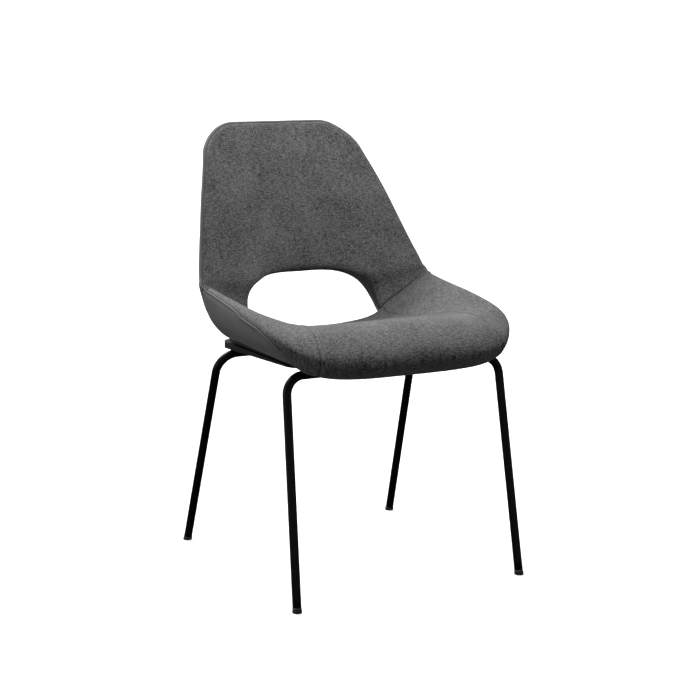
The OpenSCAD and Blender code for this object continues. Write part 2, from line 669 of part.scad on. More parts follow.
shell_core();
seat_foam();
mirror(left) wing_foam();  // wing_foam_left
wing_foam();  // wing_foam_right
back_foam();
back_foam_rear();
front_roll_foam();
mirror(left) side_foam();  // side_foam_left
side_foam();  // side_foam_right
underside_wadding();
seat_cover();
mirror(left) wing_cover();  // wing_cover_left
wing_cover();  // wing_cover_right
back_cover_front();
back_cover_rear();
mirror(left) side_cover();  // side_cover_left
side_cover();  // side_cover_right
underside_cover();
mirror(left) piping();  // piping_left
piping();  // piping_right
base_pan();
rail(-1);  // rail_left
rail(1);  // rail_right
hoop(front);  // front_hoop
hoop(rear);  // rear_hoop
glide(front, -1);  // glide_front_left
glide(front, 1);  // glide_front_right
glide(rear, -1);  // glide_rear_left
glide(rear, 1);  // glide_rear_right
mount_bolts();
mount_washers();
tee_nuts();
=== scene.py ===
"""A padded dining chair: woven covers over foam, with grooved seams and piping, on two
bent tube hoops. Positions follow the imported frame: x across, -y to the front, z up."""
import math

import bmesh
import bpy
import numpy as np
from mathutils import Matrix, Vector, noise
from mathutils.kdtree import KDTree


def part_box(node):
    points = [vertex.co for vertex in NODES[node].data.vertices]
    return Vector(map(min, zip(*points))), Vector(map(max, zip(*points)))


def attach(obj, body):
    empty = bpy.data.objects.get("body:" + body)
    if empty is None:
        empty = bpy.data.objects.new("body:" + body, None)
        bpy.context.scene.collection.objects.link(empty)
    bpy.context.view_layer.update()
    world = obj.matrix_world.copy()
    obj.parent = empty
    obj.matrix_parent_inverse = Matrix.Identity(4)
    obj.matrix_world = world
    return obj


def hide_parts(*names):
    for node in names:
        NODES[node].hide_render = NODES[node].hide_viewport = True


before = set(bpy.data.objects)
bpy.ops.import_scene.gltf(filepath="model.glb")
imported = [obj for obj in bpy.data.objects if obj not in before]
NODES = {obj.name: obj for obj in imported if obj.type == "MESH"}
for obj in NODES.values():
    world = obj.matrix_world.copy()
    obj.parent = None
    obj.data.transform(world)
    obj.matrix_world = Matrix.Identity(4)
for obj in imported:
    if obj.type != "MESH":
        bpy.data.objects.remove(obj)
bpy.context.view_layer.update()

# --- The shell's side profile and surfaces, in millimetres as in the design ---
# Station s is the length along the profile from the front edge, x the distance from the
# middle, and a height is measured square to the profile, towards the sitter.
FRONT = (-303.0, 430.0, 2.0)  # y, z and heading in degrees at the front edge
PROFILE = ((380.0, -6.0), (165.0, 76.0), (324.0, 3.0))  # arcs: length, turn in degrees
LENGTH = sum(length for length, _ in PROFILE)
HALF_TOP = 244.0  # half width across the wings
FRONT_DEPTH = 170.0  # depth of the curved front
FRONT_POWER = 2.8  # squareness of the front outline, 2 is an ellipse
TOP_HALF = 158.0  # half width of the back at its top, before the corners
TOP_RADIUS = 64.0
OPENING_HALF = 140.0  # half width of the opening in the back
OPENING_HEIGHT = 125.0
OPENING_POWER = 3.0  # squareness of the opening's upper corners
SEAM_STATION = 439.0  # seams between back and wings
SEAT_REAR = 405.0  # rear edge of the seat in the middle
REAR_POWER = 4  # how sharply the seat's rear edge runs up to the seams
REAR_BLEND = 250.0  # station where the rows start to follow that edge
EDGE_ROLL = 18.0  # width of the rolled edges
FRONT_ROLL = 26.0  # extra width of the roll under the front edge
FRONT_FALL = 58.0  # and over it, on top
ROLL_START = 40.0  # the extra widths fade out from here
ROLL_END = 150.0  # to here below
FALL_END = 260.0  # and to here on top
SEAT_END = 430.0  # sections change from the seat's to the back's from here
BACK_START = 560.0  # to here
INNER_START = 0.55  # share of the half width where the padding turns up into the wings
INNER_END = 0.86
KNEE = 0.72  # share of the half width where the seat's section bends up
KNEE_SHIFT = 0.16  # how far that bend moves inwards
KNEE_START = 60.0  # between these stations
KNEE_END = 300.0
KNEE_SHARE = 0.45  # the rest of the section is a plain power curve
SEAT_POWER = 2.2
CORNER_THIN = 0.4  # share by which the underside rises to the front corners
CROWN_REACH = 0.8  # square of the share of the half width that the crown covers
WING_RISE = 91.5
RIM_RISE = (
    (0, 8), (40, 22), (80, 36), (125, 47.5), (180, 56.5), (255, 65.5), (330, 75),
    (390, WING_RISE - 6.5), (450, WING_RISE), (500, WING_RISE - 0.5),
    (540, WING_RISE - 3.5), (565, WING_RISE - 9), (600, 74), (645, 65),
    (712, 51), (780, 32), (825, 16), (LENGTH, 0),
)
HALF_WIDTHS = (
    (FRONT_DEPTH, HALF_TOP), (330, HALF_TOP - 0.5), (390, HALF_TOP + 1),
    (454, HALF_TOP + 1.5), (500, HALF_TOP + 2.5), (548, HALF_TOP - 2.5),
    (595, HALF_TOP - 13.5), (640, HALF_TOP - 25), (708, HALF_TOP - 42.5),
    (753, HALF_TOP - 55.5), (799, HALF_TOP - 69.5), (LENGTH, TOP_HALF),
)
SEAT_SEAMS = (
    (30, 184), (65, 176), (85, 171), (125, 166), (165, 158), (204, 149),
    (244, 141), (290, 134), (340, 133), (SEAM_STATION, OPENING_HALF),
)
# How far the middle of the back stands forward of its profile, fading out to the rim
PUSHES = ((375, 0), (430, 16), (570, 18), (700, 8), (LENGTH, 0))
DEPTHS = (
    (0, 26), (40, 31.5), (68, 27), (92, 12), (150, 11.5), (250, 9.7), (340, 5.8),
    (420, 7), (480, 10), (560, 13), (LENGTH, 13),
)
# Height of the padding at the sides, and how much higher it stands in the middle
PADS = ((0, 20), (100, 26), (170, 24), (260, 17.5), (340, 15.5), (400, 15), (LENGTH, 15))
CROWNS = ((0, 22), (90, 33), (160, 25), (250, 8), (330, 1), (400, 0), (LENGTH, 0))
BOLSTERS = (
    (110, 0), (200, 4), (280, 8), (350, 12), (410, 11), (445, 3), (500, 0), (LENGTH, 0),
)  # thicker padding of the wings towards their rims
BACK_POWERS = ((0, 1.0), (510, 1.0), (640, 1.7), (LENGTH, 1.8))
SIDE_POWERS = ((0, 16), (300, 16), (443, 8), (560, 2.6), (640, 1.8), (LENGTH, 1.8))


def curve(x, knots):
    """Smooth curve through the knots, flat past both ends."""
    k = np.array(knots, float)
    slope = np.zeros(len(k))
    slope[1:-1] = (k[2:, 1] - k[:-2, 1]) / (k[2:, 0] - k[:-2, 0])
    x = np.clip(x, k[0, 0], k[-1, 0])
    i = np.clip(np.searchsorted(k[:, 0], x, side="right") - 1, 0, len(k) - 2)
    w = k[i + 1, 0] - k[i, 0]
    u = (x - k[i, 0]) / w
    return (
        k[i, 1] * (1 + 2 * u) * (1 - u) ** 2
        + w * slope[i] * u * (1 - u) ** 2
        + k[i + 1, 1] * u**2 * (3 - 2 * u)
        + w * slope[i + 1] * u**2 * (u - 1)
    )


def fade(a, b, x):
    """Smooth step from 0 at a to 1 at b."""
    u = np.clip((np.asarray(x, float) - a) / (b - a), 0, 1)
    return u * u * (3 - 2 * u)


def mix(a, b, u):
    return a + (b - a) * u


def walk(s):
    """y, z and heading (radians) at station s of the profile."""
    s = np.asarray(s, float)
    y0, z0, start = FRONT
    h0 = math.radians(start)
    y, z, h = np.full(s.shape, y0), np.full(s.shape, z0), np.full(s.shape, h0)
    begin = 0.0
    for n, (length, turn) in enumerate(PROFILE):
        radius = length / math.radians(turn)
        last = n == len(PROFILE) - 1
        d = s - begin
        inside = (d >= 0) & (last | (d <= length)) if n else (d <= length)
        heading = h0 + d / radius
        y = np.where(inside, y0 + radius * (np.sin(heading) - math.sin(h0)), y)
        z = np.where(inside, z0 - radius * (np.cos(heading) - math.cos(h0)), z)
        h = np.where(inside, heading, h)
        end = h0 + math.radians(turn)
        y0 += radius * (math.sin(end) - math.sin(h0))
        z0 -= radius * (math.cos(end) - math.cos(h0))
        h0 = end
        begin += length
    return y, z, h


def place(s, x, height):
    """Points in metres in the frame."""
    y, z, h = walk(s)
    inner = 1 - fade(INNER_START, 1, np.abs(x) / half_width(s))
    y = y - height * np.sin(h) - curve(s, PUSHES) * inner
    return 0.001 * np.stack([x + 0 * y, y, z + height * np.cos(h)], -1)


def half_width(s):
    """Half the shell's width behind the curved front."""
    return curve(s, HALF_WIDTHS)


def power_arc(u, n):
    """The other coordinate of a superellipse at u."""
    return np.maximum(1 - np.clip(u, 0, 1) ** n, 0) ** (1 / n)


def front_line(x):
    return FRONT_DEPTH * (1 - power_arc(np.abs(x) / HALF_TOP, FRONT_POWER))


def rear_line(x):
    u = np.clip(np.abs(x) / OPENING_HALF, 0, 1)
    return SEAT_REAR + (SEAM_STATION - SEAT_REAR) * u**REAR_POWER


def ellipse_gap(u, v, a, b, n):
    """Distance inside a superellipse quadrant with half axes a and b."""
    u, v = np.maximum(u, 1e-6), np.maximum(v, 1e-6)
    r = np.maximum(((u / a) ** n + (v / b) ** n) ** (1 / n), 0.01)
    return (1 - r) / np.hypot((u / a / r) ** (n - 1) / a, (v / b / r) ** (n - 1) / b)


def rim_gap(s, x):
    """Distance inside the shell's outline."""
    x = np.abs(x)
    from_top = LENGTH - s
    inner = half_width(s) - TOP_RADIUS
    corner = TOP_RADIUS - np.hypot(x - inner, TOP_RADIUS - from_top)
    back = np.where(from_top > TOP_RADIUS, half_width(s) - x, np.where(x < inner, from_top, corner))
    front = ellipse_gap(x, FRONT_DEPTH - s, HALF_TOP, FRONT_DEPTH, FRONT_POWER)
    return np.where(s < FRONT_DEPTH, front, back)


def opening_gap(s, x):
    """Distance outside the opening in the back."""
    x = np.abs(x)
    above = -ellipse_gap(x, s - SEAM_STATION, OPENING_HALF, OPENING_HEIGHT, OPENING_POWER)
    beside = np.hypot(x - OPENING_HALF, SEAM_STATION - s)
    below = np.where(x > OPENING_HALF, beside, rear_line(x) - s)
    return np.where(s >= SEAM_STATION, above, below)


def roll(d, w):
    """Quarter round of width w: 0 at d = 0 and 1 from w on."""
    return np.sqrt(1 - (1 - np.clip(d / w, 0, 1)) ** 2)


def knee(t, k):
    """0 to 1 with a soft knee at k."""
    def soft(v):
        return (np.sqrt((v - k) ** 2 + 0.01) + v - k) / 2

    return (soft(t) - soft(0)) / (soft(1) - soft(0))


def mid_height(s, x):
    """The line through the middle of the edges, where the sitter's side and the outside meet."""
    t = np.clip(np.abs(x) / half_width(s), 0, 1)
    k = KNEE - KNEE_SHIFT * fade(KNEE_START, KNEE_END, s)
    seat = (1 - KNEE_SHARE) * t**SEAT_POWER + KNEE_SHARE * knee(t, k)
    back = t ** curve(s, BACK_POWERS)
    return curve(s, RIM_RISE) * mix(seat, back, fade(SEAT_END, BACK_START, s))


def edge_roundness(s, x, front, end):
    """0 at the edges and 1 inside them; the roll is wider by front at the front edge."""
    width = EDGE_ROLL + front * (1 - fade(ROLL_START, end, s))
    return np.minimum(roll(rim_gap(s, x), width), roll(opening_gap(s, x), EDGE_ROLL))


def top_height(s, x):
    """The sitter's side of the padding."""
    t = np.clip(np.abs(x) / half_width(s), 0, 1)
    pad = curve(s, PADS) + curve(s, CROWNS) * np.maximum(1 - t * t / CROWN_REACH, 0)
    pad += curve(s, BOLSTERS) * fade(INNER_START, INNER_END, t)
    return mid_height(s, x) + pad * edge_roundness(s, x, FRONT_FALL, FALL_END)


def bottom_height(s, x):
    """The outside of the shell, less deep towards the front corners."""
    t = np.clip(np.abs(x) / half_width(s), 0, 1)
    front = 1 - fade(ROLL_START, ROLL_END, s)
    depth = curve(s, DEPTHS) * (1 - CORNER_THIN * t**4 * front)
    outer = curve(s, RIM_RISE) * t ** curve(s, SIDE_POWERS) - depth
    mid = mid_height(s, x)
    return mid - (mid - outer) * edge_roundness(s, x, FRONT_ROLL, ROLL_END)


# --- Layout of the panels ----------------------------------------
# Rows run from the front edge (r = 0) to the rear, and follow the front and rear outlines.
WRAP = EDGE_ROLL + FRONT_ROLL  # how far the covers go on under the front edge
NOSE_ROWS = 12
MAIN_ROWS = 64
SEAT_COLS = 48
WING_COLS = 24
STRIP_COLS = 9  # columns of a wing cover that also wrap the side behind the front corner
SIDE_COLS = 26
ARCH_COLS = 30
REAR_COLS = ARCH_COLS + 4
ARCH_ROWS = 150
PIPING_STEPS = 119
WELT_STEPS = 159
LINING_COLS = 24
STRIP_END = 250.0  # station where that wrapping ends
CORNER_END = 150.0  # and where the side pad has come down to the rim seam
CORNER_BLEND = 14.0  # way over which the edge turns from the nose to the seam


def row_station(r, x):
    """Station of the row r at a distance x from the middle."""
    rear = rear_line(x) - SEAT_REAR
    front = front_line(x) * np.clip(1 - r / FRONT_DEPTH, 0, None) ** 2
    return r + front + rear * np.clip((r - REAR_BLEND) / (SEAT_REAR - REAR_BLEND), 0, 1) ** 2


def row_end(r):
    """Distance from the middle where a row meets the outline."""
    r = np.asarray(r, float)
    u = 1 - 1 / (2 - np.minimum(r, FRONT_DEPTH) / FRONT_DEPTH)
    corner = HALF_TOP * power_arc(u, FRONT_POWER)
    return np.where(r >= FRONT_DEPTH, half_width(row_station(r, HALF_TOP)), corner)


def seam_x(r):
    """Distance of the seams between seat and wings from the middle."""
    return curve(row_station(r, curve(r, SEAT_SEAMS)), SEAT_SEAMS)


def crowd(n):
    """n steps from 0 to 1 that crowd towards both ends."""
    return 0.5 - 0.5 * np.cos(np.linspace(0, math.pi, n + 1))


nose_rows = WRAP * (1 - np.cos(np.linspace(0, math.pi / 2, NOSE_ROWS + 1)))
ramp = np.linspace(0, 1, MAIN_ROWS + 1)
main_rows = WRAP + (SEAT_REAR - WRAP) * mix(ramp, np.sin(ramp * math.pi / 2), 0.8)
all_rows = np.concatenate([nose_rows, main_rows[1:]])

# Reach of the rim seam inside the outline, by station: below 0 it lies on the outer side
SEAM_REACH = (
    (104, -5.5), (112, -4.5), (129, -2.5), (156, -1), (194, -0.5), (236, 0), (262, 0.6),
    (340, 1.8), (SEAM_STATION, 3), (480, 4.5), (LENGTH, 5),
)


def arc_of(t):
    """Length along a rolled edge, from its outline, for a reach t inside the outline."""
    a, w = np.abs(t), EDGE_ROLL
    bent = w * np.arccos(np.clip(1 - a / w, -1, 1))
    return np.sign(t) * np.where(a < w, bent, a - w + w * math.pi / 2)


def reach_of(q):
    """The inverse of arc_of."""
    a, w = np.abs(q), EDGE_ROLL
    flat = a + w - w * math.pi / 2
    return np.sign(q) * np.where(a < w * math.pi / 2, w * (1 - np.cos(a / w)), flat)


def shell_point(s, x, t):
    """Top surface where t >= 0, outside where t < 0."""
    height = np.where(t >= 0, top_height(s, x), bottom_height(s, x))
    return place(s, x, height)


def grid_of(rows, xs, outside=False):
    """A grid with one line of xs for each row: points, weave coordinates in metres along the
    cloth, and the points of the shell's middle that they cover."""
    r = np.broadcast_to(np.asarray(rows, float)[:, None], xs.shape)
    s = row_station(r, xs)
    height = bottom_height(s, xs) if outside else top_height(s, xs)
    return laid_out(place(s, xs, height), s, xs)


def laid_out(points, s, xs):
    """The grid's points with its weave coordinates, lengths across and along, and middle."""
    step = np.linalg.norm(np.diff(points, axis=1), axis=2)
    across = np.concatenate([0 * step[:, :1], np.cumsum(step, axis=1)], axis=1)
    weave = np.stack([0.001 * xs[:, :1] + across, 0.001 * s], -1)
    return points, weave, place(s, xs, mid_height(s, xs))


def wing_columns(r):
    """Top of a wing: from the seat seam to the rim seam, or to the rim where that is lower."""
    end = row_end(r)
    s = row_station(r, end)
    q0 = arc_of(end - seam_x(r))
    q1 = arc_of(np.maximum(curve(s, SEAM_REACH), 0))
    t = reach_of(mix(q0[:, None], q1[:, None], crowd(WING_COLS)[None, :]))
    return end[:, None] - t, t


# --- Meshes ------------------------------------------------------
WELD = 2e-5  # grid points closer than this are one
BORDER_STEP = 0.0015


def added(name, data):
    """A new object in the scene."""
    made = bpy.data.objects.new(name, data)
    bpy.context.scene.collection.objects.link(made)
    return made


def mesh_object(name, points, faces, weave=None):
    mesh = bpy.data.meshes.new(name)
    mesh.from_pydata([tuple(p) for p in points], [], faces)
    if weave is not None:
        layer = mesh.uv_layers.new(name="Weave")
        loops = np.array([loop.vertex_index for loop in mesh.loops])
        layer.data.foreach_set("uv", np.asarray(weave, np.float32)[loops].ravel())
    return added(name, mesh)


def panel(name, grids):
    """One welded sheet from grids of (points, weave, middle), facing away from the middle."""
    points, weave, faces, start = [], [], [], 0
    for grid, uv, middle in grids:
        n, m = grid.shape[:2]
        points.append(grid.reshape(-1, 3))
        weave.append(uv.reshape(-1, 2))
        facing = np.cross(grid[:-1, 1:] - grid[:-1, :-1], grid[1:, :-1] - grid[:-1, :-1])
        flip = (facing * (grid - middle)[:-1, :-1]).sum() < 0
        for i in range(n - 1):
            for j in range(m - 1):
                k = start + i * m + j
                quad = (k, k + 1, k + m + 1, k + m)
                faces.append(quad[::-1] if flip else quad)
        start += n * m
    piece = mesh_object(name, np.concatenate(points), faces, np.concatenate(weave))
    bm = bmesh.new()
    bm.from_mesh(piece.data)
    bmesh.ops.remove_doubles(bm, verts=bm.verts, dist=WELD)
    bmesh.ops.dissolve_degenerate(bm, edges=bm.edges, dist=1e-6)
    bm.normal_update()
    bm.to_mesh(piece.data)
    bm.free()
    return piece


def coordinates(mesh):
    out = np.empty(len(mesh.vertices) * 3)
    mesh.vertices.foreach_get("co", out)
    return out.reshape(-1, 3)


def set_coordinates(mesh, points):
    mesh.vertices.foreach_set("co", np.asarray(points, np.float64).ravel())
    mesh.update()


def normals(mesh):
    out = np.empty(len(mesh.vertices) * 3)
    mesh.vertex_normals.foreach_get("vector", out)
    return out.reshape(-1, 3)


def border_distance(mesh):
    """Distance of each vertex from the sheet's border, where its seams are."""
    bm = bmesh.new()
    bm.from_mesh(mesh)
    samples = []
    for e in bm.edges:
        if e.is_boundary:
            a, b = e.verts[0].co, e.verts[1].co
            steps = max(1, int((b - a).length / BORDER_STEP))
            samples += [a.lerp(b, k / steps) for k in range(steps + 1)]
    bm.free()
    tree = KDTree(len(samples))
    for k, p in enumerate(samples):
        tree.insert(p, k)
    tree.balance()
    return np.array([tree.find(v.co)[2] for v in mesh.vertices])


def apply_modifiers(piece):
    """Replaces the piece's mesh by the result of its modifiers."""
    graph = bpy.context.evaluated_depsgraph_get()
    mesh = bpy.data.meshes.new_from_object(piece.evaluated_get(graph))
    piece.modifiers.clear()
    old = piece.data
    piece.data = mesh
    bpy.data.meshes.remove(old)


# --- Padding -----------------------------------------------------
PIN = 0.012  # the cover is held this far in from its seams
SWELL = 0.0035  # how far the foam pushes the cover out between its seams
SWELL_FRAMES = 20
SLACK = 0.62  # share of the swelling by which a pad starts smaller
GROOVE = 0.0026  # depth of the seams
BACK_GROOVE = 0.0022
GROOVE_RADIUS = 0.0065
UNEVEN = 0.0004  # of a cover pulled on by hand
WAVES = 18  # waves of that unevenness in a metre, and of the finer part
FINE_WAVES = 52
PAD_THICKNESS = 0.006
FELT_THICKNESS = 0.005
LINING_THICKNESS = 0.002
LINING_GROOVE = 0.0015
LINING_GROOVE_RADIUS = 0.005
LINING_UNEVEN = 0.0005


def swell(piece):
    """The cover is blown up by the foam between its seams, by a cloth simulation."""
    mesh = piece.data
    base = coordinates(mesh)
    away = border_distance(mesh)
    held = piece.vertex_groups.new(name="held")
    for i, d in enumerate(away):
        held.add([i], float(1 - fade(0.3 * PIN, PIN, d)), "REPLACE")
    cloth = piece.modifiers.new("cloth", "CLOTH")
    settings = dict(
        quality=6, mass=0.3, tension_stiffness=25, compression_stiffness=25, shear_stiffness=12,
        bending_stiffness=4, air_damping=4, use_pressure=True, uniform_pressure_force=4,
        vertex_group_mass="held",
    )
    for key, value in settings.items():
        setattr(cloth.settings, key, value)
    cloth.settings.effector_weights.gravity = 0
    cloth.collision_settings.use_collision = False
    cloth.point_cache.frame_start = 1
    cloth.point_cache.frame_end = SWELL_FRAMES
    for f in range(1, SWELL_FRAMES + 1):
        bpy.context.scene.frame_set(f)
    graph = bpy.context.evaluated_depsgraph_get()
    moved = coordinates(piece.evaluated_get(graph).data) - base
    piece.modifiers.clear()
    piece.vertex_groups.clear()
    bpy.context.scene.frame_set(1)
    length = np.linalg.norm(moved, axis=1)
    top = np.percentile(length, 98)
    moved *= (SWELL * np.tanh(length / top) / np.maximum(length, 1e-9))[:, None]
    # the start shape is smaller by what the middle gains
    slack = SLACK * SWELL * fade(0.3 * PIN, 3 * PIN, away)
    set_coordinates(mesh, base + moved - normals(mesh) * slack[:, None])


def groove(piece, depth, radius):
    """The cover turns down into the seams along its border."""
    mesh = piece.data
    turn = 1 - roll(border_distance(mesh), radius)
    set_coordinates(mesh, coordinates(mesh) - normals(mesh) * (depth * turn)[:, None])


def hand_made(piece, amount):
    """Slight unevenness of a cover pulled on by hand."""
    mesh = piece.data
    points = coordinates(mesh)
    wave = np.array([
        noise.noise(Vector(p) * WAVES)
        + 0.4 * noise.noise(Vector(p) * FINE_WAVES + Vector((7, 3, 1)))
        for p in points
    ])
    set_coordinates(mesh, points + normals(mesh) * (amount * wave)[:, None])


def thicken(piece, thickness):
    """Gives the sheet its thickness, inwards, and smooths it."""
    solid = piece.modifiers.new("thickness", "SOLIDIFY")
    solid.thickness = thickness
    solid.offset = -1
    smooth = piece.modifiers.new("smooth", "SUBSURF")
    smooth.levels = smooth.render_levels = 1
    apply_modifiers(piece)
    piece.data.shade_smooth()


def finish_pad(piece, thickness, depth=GROOVE):
    """From a sheet to a pad: swollen, drawn into its seams, slightly uneven and thick."""
    swell(piece)
    groove(piece, depth, GROOVE_RADIUS)
    hand_made(piece, UNEVEN)
    thicken(piece, thickness)


def mirrored(piece, name):
    """The same piece on the chair's other side."""
    copy = piece.copy()
    copy.data = piece.data.copy()
    copy.name = copy.data.name = name
    bpy.context.scene.collection.objects.link(copy)
    copy.data.transform(Matrix.Diagonal((-1, 1, 1, 1)))
    copy.data.flip_normals()
    return copy


def seat_pad():
    """The seat from its rear edge over the front and a little way under it."""
    c = 2 * crowd(SEAT_COLS) - 1
    top_grid = grid_of(all_rows, seam_x(all_rows)[:, None] * c[None, :])
    nose_grid = grid_of(nose_rows, seam_x(nose_rows)[:, None] * c[None, :], outside=True)
    piece = panel("seat_pad", [top_grid, nose_grid])
    finish_pad(piece, PAD_THICKNESS)
    return piece


def wing_pad():
    """The right wing's inside, which wraps the front corner as the seat does."""
    xs, _ = wing_columns(all_rows)
    top_grid = grid_of(all_rows, xs)
    nose_xs, nose_t = wing_columns(nose_rows)
    nose_grid = grid_of(nose_rows, nose_xs, outside=True)
    # the outer side behind the front corner, as wide as the rim seam's reach
    first = nose_t[-1, -STRIP_COLS - 1:]
    rows = main_rows[row_station(main_rows, row_end(main_rows)) < STRIP_END]
    ends = row_end(rows)
    reach = np.maximum(-curve(row_station(rows, ends), SEAM_REACH), 0)
    width = mix(first[0], reach, roll(rows - WRAP, CORNER_BLEND))
    strip_t = width[:, None] * (first / first[0])[None, :]
    strip_grid = grid_of(rows, ends[:, None] - strip_t, outside=True)
    piece = panel("wing_pad_right", [top_grid, nose_grid, strip_grid])
    finish_pad(piece, PAD_THICKNESS)
    return piece


def side_pad():
    """The right wing's outside, from the rim seam to the lining."""
    ends = row_end(main_rows)
    s = row_station(main_rows, ends)
    reach = curve(s, SEAM_REACH)
    _, nose_t = wing_columns(nose_rows)
    first = nose_t[-1, -STRIP_COLS - 1]
    corner = mix(-first, reach, roll(main_rows - WRAP, CORNER_BLEND))
    reach = np.where(s < CORNER_END, corner, reach)
    q0 = arc_of(-(ends - seam_x(main_rows)))
    q1 = arc_of(reach)
    t = reach_of(mix(q0[:, None], q1[:, None], crowd(SIDE_COLS)[None, :]))
    xs = ends[:, None] - np.abs(t)
    r = np.broadcast_to(main_rows[:, None], xs.shape)
    st = row_station(r, xs)
    piece = panel("side_pad_right", [laid_out(shell_point(st, xs, t), st, xs)])
    finish_pad(piece, FELT_THICKNESS)
    return piece


def underside_lining():
    c = 2 * crowd(LINING_COLS) - 1
    grid = grid_of(main_rows, seam_x(main_rows)[:, None] * c[None, :], outside=True)
    piece = panel("underside_lining", [grid])
    groove(piece, LINING_GROOVE, LINING_GROOVE_RADIUS)
    hand_made(piece, LINING_UNEVEN)
    thicken(piece, LINING_THICKNESS)
    return piece


# The back is laid out from the opening (v = 0) to the rim (v = 1), u from seam to seam
SIDE_RUN = LENGTH - TOP_RADIUS - SEAM_STATION
CORNER_RUN = TOP_RADIUS * math.pi / 2
OUTLINE_RUN = SIDE_RUN + CORNER_RUN + TOP_HALF - TOP_RADIUS


def outline_point(k):
    """Station and x on the rim: k = 0 at a seam, 1 in the middle of the top."""
    d = k * OUTLINE_RUN
    a = np.clip((d - SIDE_RUN) / CORNER_RUN, 0, 1) * math.pi / 2
    s1 = SEAM_STATION + d
    s2 = LENGTH - TOP_RADIUS + TOP_RADIUS * np.sin(a)
    inner = TOP_HALF - TOP_RADIUS
    s = np.where(d < SIDE_RUN, s1, s2)
    corner_x = half_width(s2) - TOP_RADIUS + TOP_RADIUS * np.cos(a)
    top_x = inner * (1 - (d - SIDE_RUN - CORNER_RUN) / inner)
    x = np.where(d < SIDE_RUN, half_width(s1), np.where(d < SIDE_RUN + CORNER_RUN, corner_x, top_x))
    return s, x


def opening_point(k):
    """Station and x on the opening, from a seam to the middle of its top."""
    a = k * math.pi / 2
    s = SEAM_STATION + OPENING_HEIGHT * np.sin(a) ** (2 / OPENING_POWER)
    return s, OPENING_HALF * np.maximum(np.cos(a), 0) ** (2 / OPENING_POWER)


def arch_rows():
    """u from one seam over the top to the other, closer near the seams."""
    return mix(np.linspace(0, 1, ARCH_ROWS + 1), crowd(ARCH_ROWS), 0.4)


def arch_grid(reach):
    """Grid over the back; reach is a function that turns the full width of a row into signed
    distances from the rim: t > 0 on the sitter's side, t < 0 on the rear."""
    u = arch_rows()
    k = 1 - np.abs(2 * u - 1)
    s0, x0 = opening_point(k)
    s1, x1 = outline_point(k)
    full = np.hypot(s1 - s0, x1 - x0)
    t = reach(full, s1)
    side = np.where(u > 0.5, -1.0, 1.0)[:, None]

    def at(gap):
        v = 1 - gap / full[:, None]
        return mix(s0[:, None], s1[:, None], v), side * mix(x0[:, None], x1[:, None], v)

    s, x = at(np.abs(t))
    flat_s, flat_x = at(arc_of(t))
    weave = 0.001 * np.stack([flat_x, flat_s], -1)
    return shell_point(s, x, t), weave, place(s, x, mid_height(s, x))


def back_reach(full, s):
    """From the opening's edge over the sitter's side to the rim seam."""
    q0 = arc_of(full)
    q1 = arc_of(curve(s, SEAM_REACH))
    return reach_of(mix(q0[:, None], q1[:, None], crowd(ARCH_COLS)[None, :]))


def rear_reach(full, s):
    """From the rim seam over the rim and down the rear to the opening's edge."""
    q0 = arc_of(curve(s, SEAM_REACH))
    q1 = -arc_of(full)
    return reach_of(mix(q0[:, None], q1[:, None], crowd(REAR_COLS)[None, :]))


def back_pad(name, reach, thickness):
    piece = panel(name, [arch_grid(reach)])
    finish_pad(piece, thickness, depth=BACK_GROOVE)
    return piece


def run_of(path):
    """Length along a path at each of its points."""
    return np.concatenate([[0], np.cumsum(np.linalg.norm(np.diff(path, axis=0), axis=1))])


# --- Tubes swept along a path ------------------------------------
def tube_faces(rings, sides):
    """Faces of a closed tube through rings of points."""
    faces = []
    for i in range(rings - 1):
        for k in range(sides):
            k2 = (k + 1) % sides
            a, b = i * sides, (i + 1) * sides
            faces.append((a + k, a + k2, b + k2, b + k))
    faces.append(tuple(range(sides - 1, -1, -1)))
    faces.append(tuple((rings - 1) * sides + k for k in range(sides)))
    return faces


def sweep(name, path, radius, sides, ends=1.0):
    """A round tube along a list of points; ends below 1 narrow its two ends."""
    path = np.asarray(path, float)
    n = len(path)
    tangent = np.gradient(path, axis=0)
    tangent /= np.linalg.norm(tangent, axis=1)[:, None]
    normal = np.cross(tangent[0], (0.3, 0.9, 0.1))
    along = run_of(path)
    points, weave = [], []
    for i in range(n):
        normal = normal - tangent[i] * normal.dot(tangent[i])
        normal /= np.linalg.norm(normal)
        side = np.cross(tangent[i], normal)
        r = radius * (ends if i in (0, n - 1) else 1)
        for k in range(sides):
            a = 2 * math.pi * k / sides
            points.append(path[i] + r * (math.cos(a) * normal + math.sin(a) * side))
            weave.append((r * a, along[i]))
    piece = mesh_object(name, points, tube_faces(n, sides), weave)
    piece.data.shade_smooth()
    return piece


# Hoops, in metres: end of the chair, reach of the feet and of the crossbar, its height and
# half width, and the radius of the bends
TUBE = 0.008  # radius
FOOT_HALF = 0.230  # half the distance between two feet
FOOT_CUT = 0.009  # the tube ends this far up the leg, in the glide
LEG_STEPS = 24
BEND_STEPS = 14
BAR_STEPS = 7
HOOPS = {
    "front": (-1, 0.266, 0.200, 0.4055, 0.2165, 0.034),
    "rear": (1, 0.230, 0.098, 0.395, 0.2135, 0.040),
}


def hoop_frame(hoop):
    """The lean of a hoop's plane as (origin, up vector, height along it)."""
    end, foot, bar, z = hoop[:4]
    up = Vector((0, end * (bar - foot), z))
    return Vector((0, end * foot, 0)), up.normalized(), up.length


